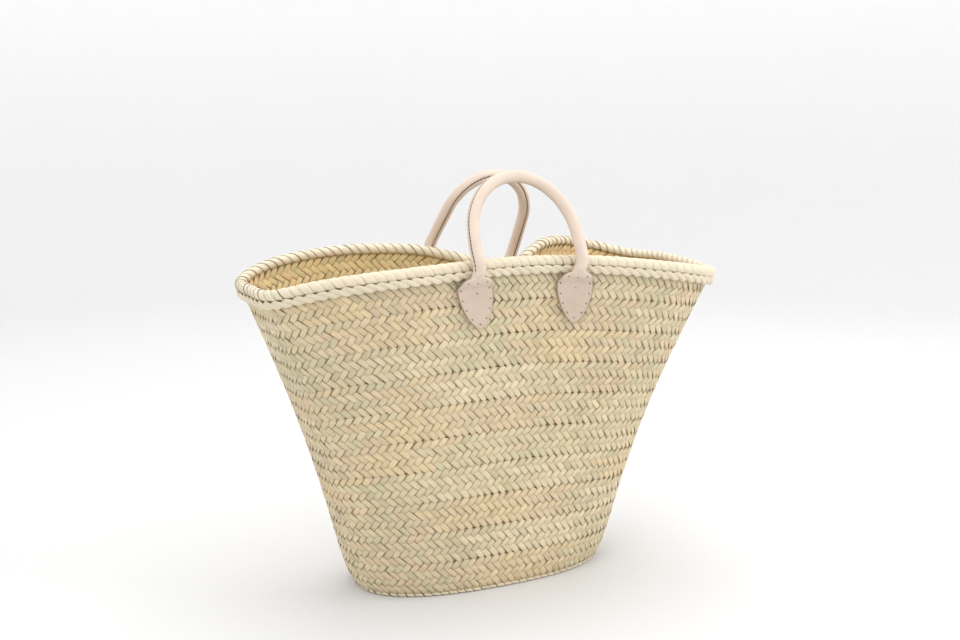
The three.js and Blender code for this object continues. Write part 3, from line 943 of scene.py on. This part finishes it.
def on_tab(seat, across, drop, out):
    """A point of a tab: across round the wall, drop below its top edge. A seat is (turn, lean)."""
    turn, lean = seat
    reach = wall_face(turn + 0.004, tab_top) - wall_face(turn - 0.004, tab_top)
    per_turn = np.linalg.norm(reach) / 0.008
    shifted = across + lean * np.maximum(drop - NECK_DROP, -NECK_DROP)
    return wall_point(turn + shifted / per_turn, tab_top - drop, out)


STITCH_INSET = 4.2 * MM
STITCHES_PER_SIDE = 5
stitch_edge = tab_edge(STITCH_INSET)
stitch_metres = length_so_far(stitch_edge)
stitch_at = np.arange(1, STITCHES_PER_SIDE + 1) / (STITCHES_PER_SIDE + 1) * stitch_metres[-1]
half_stitches = np.stack([np.interp(stitch_at, stitch_metres, stitch_edge[:, k]) for k in (0, 1)], -1)
STITCHES = np.concatenate([
    half_stitches,
    half_stitches * (-1, 1),
    [(0, 0), (0, TAB_LENGTH - STITCH_INSET), (1 * MM, 0.25 * TAB_LENGTH)],
])

# %% [markdown]
# ### One skin of leather
# Every ring of the skin has the same number of points. On a tab the ring is a thin flat slab,
# on the arch it is a circle with the groove of the sewn seam, and over the neck it changes
# from one to the other. Small dimples pull the leather in at each stitch, and fine creases
# cross the arch where the leather is bent.

# %% Leather skin
SIDES = 64
TUBE_STEPS = 150
SEAM_DEPTH = 1.3 * MM
SEAM_LIP = 0.45 * MM
CREASE_DEPTH = 0.3 * MM
DIMPLE_DEPTH = 0.75 * MM
DIMPLE_RADIUS = 1.3 * MM
EDGE_GROOVE = 0.18 * MM
TIP_RINGS = 26
FACE_RINGS = 24
NECK_RINGS = 7
FAR_FROM_SEAM = 9.0
FLAT_FROM = 8 * MM
ROUND_FROM = -15 * MM
ring_angle = np.arange(SIDES) * 2 * math.pi / SIDES


def ease(x, low, high):
    t = np.clip((x - low) / (high - low), 0, 1)
    return t * t * (3 - 2 * t)


def tab_section(drops):
    """Across and out for the rings of a tab, one ring for each drop below its top edge."""
    edge = tab_edge()
    width = np.interp(drops, edge[:, 1], edge[:, 0], left=0)
    neck = HANDLE_RADIUS * (1 + 0.12 * ease(drops, ROUND_FROM, 0))
    width = np.where(drops < SHOULDER_DROP, np.maximum(width, neck), width)
    flat = ease(drops, ROUND_FROM, FLAT_FROM)
    thick = HANDLE_RADIUS + (TAB_THICKNESS / 2 - HANDLE_RADIUS) * flat
    inner = SEAT_GAP + (neck_out - HANDLE_RADIUS - SEAT_GAP) * ease(drops, 7 * MM, -MM)
    middle = inner + thick
    spread = np.where(ring_angle < math.pi, 1 - 2 * ring_angle / math.pi, 2 * ring_angle / math.pi - 3)
    slab = np.where(ring_angle < math.pi, 1, -1) * (1 - abs(spread) ** 8) ** 0.25
    across = width[:, None] * (spread * flat[:, None] + np.cos(ring_angle) * (1 - flat[:, None]))
    out = thick[:, None] * (slab * flat[:, None] + np.sin(ring_angle) * (1 - flat[:, None]))
    return across, middle[:, None] + out, spread, flat


def tab_face(x, drop):
    """How far the outer face of a tab stands off the wall at one place."""
    across, out, _, _ = tab_section(np.array([drop]))
    front = ring_angle < math.pi
    return np.interp(x, across[0, front][::-1], out[0, front][::-1])


def tab_rings(seat, side, drops):
    """The rings of one tab. side is 1 on the left and -1 on the right."""
    across, out, spread, flat = tab_section(drops)
    outside = np.sin(ring_angle) > 0
    dimple = np.zeros_like(across)
    for x, drop in STITCHES:
        away = (across - x) ** 2 + (drops[:, None] - drop) ** 2
        dimple += DIMPLE_DEPTH * np.exp(-away / DIMPLE_RADIUS**2)
    groove = EDGE_GROOVE * ease(abs(spread), 0.62, 0.78) * ease(abs(spread), 0.97, 0.86)
    out = out - np.where(outside, dimple + groove * flat[:, None], 0)
    return on_tab(seat, side * across, drops[:, None] + 0 * across, out)


def line_ways(line, inward):
    """Along, outwards and across, at each point of a handle's middle line."""
    tangent = unit(np.gradient(line, axis=0))
    facing = unit(-inward - tangent * (tangent @ -inward)[:, None])
    return tangent, facing, np.cross(tangent, facing)


def seam_angle(share, twist):
    """Where the seam lies round the section. twist turns it, in radians at each end."""
    return -math.pi / 2 + twist[0] + (twist[1] - twist[0]) * ease(share, 0.05, 0.95)


def tube_rings(line, inward, twist):
    """The rings of the rolled part."""
    _, facing, across = line_ways(line, inward)
    share = np.linspace(0, 1, len(line))
    seam = seam_angle(share, twist)
    away = (ring_angle[None] - seam[:, None] + math.pi) % (2 * math.pi) - math.pi
    notch = SEAM_DEPTH * np.exp(-((away / 0.1) ** 2))
    lip = SEAM_LIP * ease(away, 0, 0.14) * ease(away, 0.75, 0.5)
    inner = np.maximum(0, np.cos(ring_angle))[None] ** 2
    metres = share * path_length(line)
    bent = ease(share, 0.22, 0.36) * ease(share, 0.62, 0.48)
    fold = np.sin(metres * 1500 + 2.2 * np.sin(metres * 210))
    crease = CREASE_DEPTH * np.maximum(0, fold)[:, None] * bent[:, None] * inner
    radius = HANDLE_RADIUS * (1 + 0.012 * np.sin(metres * 95))[:, None] - notch + lip - crease
    section = np.cos(ring_angle)[None, :, None] * across[:, None]
    section = section + np.sin(ring_angle)[None, :, None] * facing[:, None]
    return line[:, None] + radius[..., None] * section, away


def handle_skin(seats, line, inward, twist):
    """Rings from tab tip to tab tip, and for each point how near it is to the seam."""
    total = path_length(line)
    tube, away = tube_rings(line, inward, twist)
    tip = TAB_LENGTH * np.sin(np.linspace(0.5, 0.1, TIP_RINGS) * math.pi)
    face = np.linspace(tip[-1], -SHOULDER_RISE, FACE_RINGS)[1:]
    neck = np.linspace(-SHOULDER_RISE, ROUND_FROM, NECK_RINGS)[1:]
    drops = np.concatenate([tip, face, neck])
    step = total / TUBE_STEPS
    skip = math.ceil((NECK_DROP - ROUND_FROM) / step) + 1
    blocks, nearness = [], []
    for end, side in ((0, 1), (1, -1)):
        rings = tab_rings(seats[end], side, drops)
        along = NECK_DROP - drops
        place = np.clip(along / step, 0, skip)
        first = tube if end == 0 else tube[::-1]
        low = np.floor(place).astype(int)
        part = (place - low)[:, None, None]
        near_tube = first[low] * (1 - part) + first[low + 1] * part
        share = ease(drops, -SHOULDER_RISE, ROUND_FROM)[:, None, None]
        blocks.append(rings * (1 - share) + near_tube * share)
        nearness.append(np.full(rings.shape[:2], FAR_FROM_SEAM))
    body = tube[skip:-skip]
    points = np.concatenate([blocks[0], body, blocks[1][::-1]])
    seam = np.concatenate([nearness[0], away[skip:-skip], nearness[1]])
    return points, seam


# %% [markdown]
# ### Leather finish
# Undyed leather is pale and slightly pink. Its grain is a net of tiny cells, with soft cloudy
# changes of tone below it, a deeper tone on the tabs, and brown raw edges.


# %% Leather finishes
def leather(name, main, deep, edge):
    material, start, shader = new_finish(name, Specular_IOR_Level=0.38, Sheen_Weight=0.08)
    place = start.node("ShaderNodeTexCoord", None, None, 3)
    mark = start.node("ShaderNodeAttribute", {"attribute_name": "leaf_colour"})
    parts = start.node("ShaderNodeSeparateColor", None, {0: mark})
    raw = Wire(start.tree, parts.socket.node.outputs[0])
    tab = Wire(start.tree, parts.socket.node.outputs[1])
    net = {"Vector": place, "Scale": 1100}
    cells = start.node("ShaderNodeTexVoronoi", {"feature": "DISTANCE_TO_EDGE"}, net)
    clouds = start.noise(place, 38, 3, 0.6)
    pores = start.noise(place, 1500, 2, 0.6)
    deeper = clouds.between(0.35, 0.75) * 0.3 + tab * 0.65
    colour = start.colour(deep).over(start.colour(main), deeper)
    colour = start.colour(rgb(178, 136, 112)).over(colour, pores.between(0.6, 0.8) * 0.16)
    colour = start.colour(edge).over(colour, raw)
    grain = cells.between(0, 0.25) + 0.5 * pores
    apply_finish(shader, colour, 0.46 + 0.14 * clouds, grain, 0.00012)
    return material


leather_finish = leather("natural_leather", rgb(228, 210, 194), rgb(204, 182, 165), rgb(122, 84, 58))
thread_finish = dark_fibre("waxed_thread", rgb(66, 44, 32), rgb(120, 86, 62), 2500)
rope_finish = dark_fibre("handle_rope", rgb(150, 124, 84), rgb(205, 182, 138), 1500)


def skin_mesh(name, points, marks):
    """One closed skin. marks holds two shares for each point: raw edge, and tab."""
    rings, sides = points.shape[:2]
    paint = np.zeros((1, rings, sides, 3))
    paint[0, ..., :2] = marks
    along = length_so_far(points[:, 0])
    across = np.arange(sides) * 2 * math.pi * HANDLE_RADIUS / sides
    along = along[None, :, None]
    return strip_mesh(name, points[None], paint, along, across, aspect=1.2, cell_rings=36)


def stitch_run(name, starts, ends, lifts, radius):
    """Short fat stitches, each from one point to another, domed by its lift."""
    t = np.linspace(0, 1, 9)
    path = starts[:, None] * (1 - t)[None, :, None] + ends[:, None] * t[None, :, None]
    path = path + lifts[:, None] * np.sin(np.pi * t)[None, :, None]
    tangent = unit(ends - starts)[:, None]
    side = unit(np.cross(tangent, lifts[:, None]))
    up = np.cross(side, tangent)
    round_end = np.sqrt(np.maximum(0.04, 1 - (2 * t - 1) ** 6))[None, :, None, None]
    circle = np.arange(8) * math.pi / 4
    ring = np.cos(circle)[:, None] * side[:, :, None] + np.sin(circle)[:, None] * up[:, :, None]
    points = path[:, :, None] + radius * round_end * ring
    along = np.broadcast_to(t[None, :, None] * 0.003, points.shape[:3])
    return strip_mesh(name, points, (1, 1, 1), along, np.arange(8) * radius)


# %% Handles
FOLD_FROM = 5 * MM
FOLD_TO = 23 * MM
TAB_RINGS = 48
ROPE_RADIUS = 4.1 * MM
ROPE_STARTS = 22 * MM
SEAM_STITCH_HALF = 1.3 * MM
SEAM_STITCH_RADIUS = 0.4 * MM
SEAM_STITCH_RISE = 0.3 * MM
SEAM_BED = 0.75 * MM
SEAM_EDGE = 0.085
TAB_STITCH_HALF = 0.95 * MM
TAB_STITCH_RADIUS = 0.5 * MM
TAB_STITCH_RISE = 0.35 * MM
TAB_RAW_EDGE = 0.09
RAW_EDGE = 0.85


def rope_mesh(name, line, inward):
    """Three strands laid round each other, inside the leather."""
    _, facing, across = line_ways(line, inward)
    lay = np.arange(len(line)) * 2 * math.pi / 11
    strands = []
    for strand in range(3):
        angle = (lay + strand * 2 * math.pi / 3)[:, None]
        middle = line + ROPE_RADIUS * 0.5 * (np.cos(angle) * across + np.sin(angle) * facing)
        circle = np.arange(8) * math.pi / 4
        ring = np.cos(circle)[None, :, None] * across[:, None]
        ring = ring + np.sin(circle)[None, :, None] * facing[:, None]
        strands.append(middle[:, None] + ROPE_RADIUS * 0.48 * ring)
    points = np.stack(strands)
    along = np.arange(len(line))[None, :, None] * 0.002 + np.zeros(points.shape[:3])
    return strip_mesh(name, points, (1, 1, 1), along, np.arange(8) * MM, aspect=3, cell_rings=30)


def make_handle(side, sizes, twist):
    on_back = side == "back"
    inward = np.array([0.0, -1.0 if on_back else 1.0, 0.0])
    turns = [turn_at(sizes["at"] + end * sizes["spacing"] / 2, on_back) for end in (-1, 1)]
    line, metres = smooth_line(handle_points(turns, sizes, inward), TUBE_STEPS)
    seats = [(turn, sizes["tab_lean"]) for turn in turns]
    points, seam = handle_skin(seats, line, inward, twist)
    raw = RAW_EDGE * np.exp(-((seam / SEAM_EDGE) ** 2))
    flat = np.zeros(len(points))
    flat[:TAB_RINGS] = ease(np.arange(TAB_RINGS), TAB_RINGS, TIP_RINGS)
    flat[-TAB_RINGS:] = flat[:TAB_RINGS][::-1]
    from_edge = np.minimum(ring_angle % math.pi, math.pi - ring_angle % math.pi)
    rim = np.exp(-((from_edge / TAB_RAW_EDGE) ** 2))
    for tab_rows in (slice(None, TAB_RINGS), slice(-TAB_RINGS, None)):
        raw[tab_rows] = np.maximum(raw[tab_rows], RAW_EDGE * rim)
    marks = np.stack([raw, np.broadcast_to(flat[:, None], raw.shape)], -1)
    leather_piece = place_piece(
        f"{side}_handle_skin",
        skin_mesh(f"{side}_handle_skin", points, marks),
        leather_finish,
        None,
        [f"{side}_handle_leather", f"{side}_left_tab", f"{side}_right_tab"],
    )
    middle = sum(wall_point(turn, neck_along, neck_out) for turn in turns) / 2
    steps = (wall_point(turn, neck_along + MM, 0) - wall_point(turn, neck_along, 0) for turn in turns)
    up = unit(sum(steps))
    tuple(middle + up * FOLD_FROM)
    tuple(middle + up * FOLD_TO)
    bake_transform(leather_piece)
    trim = round(ROPE_STARTS / metres * TUBE_STEPS)
    rope = rope_mesh(f"{side}_rope", line[trim:-trim], inward)
    place_piece(rope.name, rope, rope_finish, f"{side}_handle", [f"{side}_handle_rope"])

    spots = np.arange(trim, TUBE_STEPS - trim, 2)
    tangent, facing, across = line_ways(line, inward)
    angle = seam_angle(np.linspace(0, 1, len(line)), twist)
    outward = np.cos(angle)[:, None] * across + np.sin(angle)[:, None] * facing
    bed = line + outward * (HANDLE_RADIUS - SEAM_BED)
    half = tangent * SEAM_STITCH_HALF
    seam_mesh = stitch_run(
        f"{side}_seam_stitches",
        (bed - half)[spots],
        (bed + half)[spots],
        outward[spots] * SEAM_STITCH_RISE,
        SEAM_STITCH_RADIUS,
    )
    body, node = f"{side}_handle", f"{side}_handle_thread"
    place_piece(seam_mesh.name, seam_mesh, thread_finish, body, [node])

    for end, seat in zip(("left", "right"), seats):
        surface = np.array([tab_face(x, d) for x, d in STITCHES]) - DIMPLE_DEPTH
        across_way = np.where(abs(STITCHES[:, 0]) > 4 * MM, 0.35, 0.95)
        down_way = np.sqrt(1 - across_way**2)
        pull = np.stack([across_way * np.sign(0.1 - STITCHES[:, 0]), down_way], -1) * TAB_STITCH_HALF
        starts = on_tab(seat, *(STITCHES - pull).T, surface)
        ends = on_tab(seat, *(STITCHES + pull).T, surface)
        lift = wall_normal(seat[0], tab_top - STITCHES[:, 1]) * TAB_STITCH_RISE
        mesh = stitch_run(f"{side}_{end}_tab_stitches", starts, ends, lift, TAB_STITCH_RADIUS)
        place_piece(mesh.name, mesh, thread_finish, "basket", [f"{side}_{end}_tab_thread"])
    print(side, "handle: %.0f mm of rolled leather" % (metres / MM))


SEAM_TWIST = {"front": (-math.radians(112), math.radians(-20)), "back": (0.0, 0.0)}
for side, sizes in HANDLES.items():
    make_handle(side, sizes, SEAM_TWIST[side])

# %% [markdown]
# ## Floor and light
# The basket stands on a pale floor that curves up into a pale wall on every side, so no
# horizon shows from any view. The floor's colour holds painted light: it is greyer where it is
# flat and whiter up the wall. The light is soft: a bright sky of one tone and three large
# lamps, above, to the left and to the right.


# %% Floor
def studio_floor(flat=1.9, curve=0.9, height=1.6, steps=96):
    """A shallow bowl, turned from one profile: flat, then a quarter round, then upright."""
    bend = np.linspace(0, math.pi / 2, 13)
    radius = np.concatenate([[0.02, 0.5, 1.0], flat + curve * np.sin(bend), [flat + curve]])
    level = np.concatenate([[0, 0, 0], curve * (1 - np.cos(bend)), [curve + height]])
    angle = np.arange(steps) * 2 * math.pi / steps
    points = np.stack([
        radius[:, None] * np.cos(angle),
        radius[:, None] * np.sin(angle),
        level[:, None] + 0 * angle,
    ], -1)
    index = np.arange(len(radius) * steps).reshape(len(radius), steps)
    beside = np.roll(index, -1, 1)
    faces = np.stack([index[:-1], beside[:-1], beside[1:], index[1:]], -1).reshape(-1, 4).tolist()
    mesh = bpy.data.meshes.new("studio_floor")
    mesh.from_pydata(points.reshape(-1, 3).tolist(), [], [*faces, index[0, ::-1].tolist()])
    mesh.polygons.foreach_set("use_smooth", np.ones(len(mesh.polygons), bool))
    return mesh


floor_finish, floor_start, floor_shader = new_finish(
    "studio_floor", Specular_IOR_Level=0.15, Roughness=0.7
)
floor_place = floor_start.node("ShaderNodeTexCoord", None, None, 3)
floor_parts = floor_start.node("ShaderNodeSeparateXYZ", None, {0: floor_place}, 2)
# Painted light: greyer on the flat floor, near white up the curved wall, with a faint mottle.
floor_painted_light_and_mottle = floor_parts.between(0.1, 1.3) + 0.03 * floor_start.noise(floor_place, 2.0, 2)
floor_colour = floor_start.colour(rgb(250, 250, 250)).over(
    floor_start.colour(rgb(223, 223, 223)), floor_painted_light_and_mottle
)
floor_finish.node_tree.links.new(floor_colour.socket, floor_shader.inputs["Base Color"])
floor = bpy.data.objects.new("studio_floor", studio_floor())
floor.data.materials.append(floor_finish)
bpy.context.scene.collection.objects.link(floor)

# %% Light
world = bpy.data.worlds.new("studio")
world.use_nodes = True
sky = world.node_tree.nodes["Background"]
sky.inputs["Color"].default_value = (1.0, 1.0, 1.0, 1)
sky.inputs["Strength"].default_value = 0.96
bpy.context.scene.world = world


def softbox(name, place, size, power, aim=(0, 0, 0.2)):
    lamp = bpy.data.lights.new(name, "AREA")
    lamp.size = size
    lamp.energy = power
    box = bpy.data.objects.new(name, lamp)
    box.location = place
    way = np.array(aim) - np.array(place)
    box.rotation_euler = (math.atan2(np.hypot(way[0], way[1]), -way[2]), 0, math.atan2(-way[0], way[1]))
    box.visible_camera = False
    bpy.context.scene.collection.objects.link(box)
    return box


softbox("key_softbox", (-1.3, -1.2, 1.9), 1.4, 11)
softbox("top_softbox", (0.3, 0.4, 2.3), 1.8, 21)
softbox("right_softbox", (1.7, -0.9, 1.0), 1.2, 12.5)
bpy.context.scene.view_settings.view_transform = "Standard"
